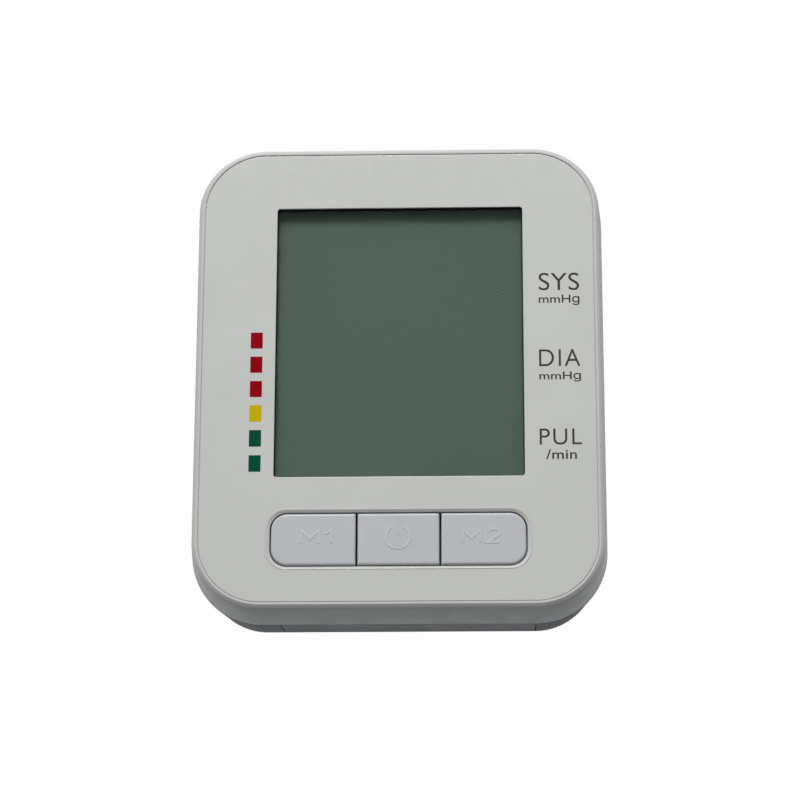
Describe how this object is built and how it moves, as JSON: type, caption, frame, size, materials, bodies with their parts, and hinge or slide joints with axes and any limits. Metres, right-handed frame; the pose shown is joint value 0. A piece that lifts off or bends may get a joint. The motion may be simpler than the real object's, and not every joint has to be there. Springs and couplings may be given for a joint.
{
  "type": "digital blood pressure monitor",
  "caption": "Flat rounded digital blood pressure monitor with a large display, a row of press keys, an air socket, a power socket and a sliding battery door.",
  "frame": {"origin": "on the table, under the middle of the case", "axes": "+Z out of the face, +Y from the keys towards the far edge of the display, +X to the right of the reader"},
  "size_m": [0.1118, 0.1326, 0.038],
  "materials": {
    "case_plastic": "fine satin moulded light grey ABS",
    "panel_gloss": "glossy off-white printed front panel",
    "clear_window": "clear polished window",
    "display_glass": "grey-green reflective liquid crystal glass, unlit",
    "dark_plastic": "black moulded plastic",
    "contact_rubber": "striped conductive rubber strip",
    "board": "green solder mask",
    "key_plastic": "satin pale lavender grey key caps",
    "plunger_plastic": "black plunger",
    "cell_jacket": "dark foil jacket with plain bands",
    "contact_metal": "nickel plated spring steel",
    "motor_steel": "zinc plated motor can",
    "dark_rubber": "black rubber sleeve",
    "white_plastic": "natural white nylon",
    "air_tube": "translucent silicone tube",
    "lead_jacket": "two-core lead jacket",
    "foot_rubber": "dark grey rubber foot",
    "screw_steel": "bright zinc screw"
  },
  "bodies": {
    "case": {"upper_shell": "case_plastic", "lower_shell": "case_plastic", "face_panel": "panel_gloss", "display_window": "clear_window", "display_glass": "display_glass", "display_frame": "dark_plastic", "memory_1_switch": "dark_plastic", "start_stop_switch": "dark_plastic", "memory_2_switch": "dark_plastic", "controller_chip": "dark_plastic", "beeper": "dark_plastic", "pump_head": "dark_plastic", "air_socket": "dark_plastic", "air_socket_nut": "dark_plastic", "power_socket": "dark_plastic", "display_contact_strip": "contact_rubber", "main_board": "board", "battery_cell_1": "cell_jacket", "battery_cell_2": "cell_jacket", "battery_cell_3": "cell_jacket", "battery_cell_4": "cell_jacket", "contact_front_left": "contact_metal", "contact_front_right": "contact_metal", "contact_back_left": "contact_metal", "contact_back_middle": "contact_metal", "contact_back_right": "contact_metal", "pump_motor": "motor_steel", "pump_sleeve_motor": "dark_rubber", "pump_sleeve_head": "dark_rubber", "release_valve": "white_plastic", "air_joint": "white_plastic", "pressure_sensor": "white_plastic", "air_tube_socket": "air_tube", "air_tube_pump": "air_tube", "air_tube_valve": "air_tube", "air_tube_sensor": "air_tube", "pump_lead": "lead_jacket", "valve_lead": "lead_jacket", "power_lead": "lead_jacket", "foot_front_left": "foot_rubber", "foot_back_left": "foot_rubber", "foot_front_right": "foot_rubber", "foot_back_right": "foot_rubber", "case_screw_front_left": "screw_steel", "case_screw_back_left": "screw_steel", "case_screw_front_right": "screw_steel", "case_screw_back_right": "screw_steel", "board_screw_front_left": "screw_steel", "board_screw_back_left": "screw_steel", "board_screw_front_right": "screw_steel", "board_screw_back_right": "screw_steel"},
    "memory_1_button": {"memory_1_key": "key_plastic", "memory_1_plunger": "plunger_plastic"},
    "start_stop_button": {"start_stop_key": "key_plastic", "start_stop_plunger": "plunger_plastic"},
    "memory_2_button": {"memory_2_key": "key_plastic", "memory_2_plunger": "plunger_plastic"},
    "battery_cover": {"battery_door": "case_plastic"}
  },
  "joints": [
    {"name": "memory_1_press", "type": "slide", "parent": "case", "child": "memory_1_button", "axis": [0, 0, -1], "range_m": [0, 0.0005], "stiffness_N_per_m": 3000},
    {"name": "start_stop_press", "type": "slide", "parent": "case", "child": "start_stop_button", "axis": [0, 0, -1], "range_m": [0, 0.0005], "stiffness_N_per_m": 3000},
    {"name": "memory_2_press", "type": "slide", "parent": "case", "child": "memory_2_button", "axis": [0, 0, -1], "range_m": [0, 0.0005], "stiffness_N_per_m": 3000},
    {"name": "battery_door_slide", "type": "slide", "parent": "case", "child": "battery_cover", "axis": [0, -1, 0], "range_m": [0, 0.058]}
  ]
}
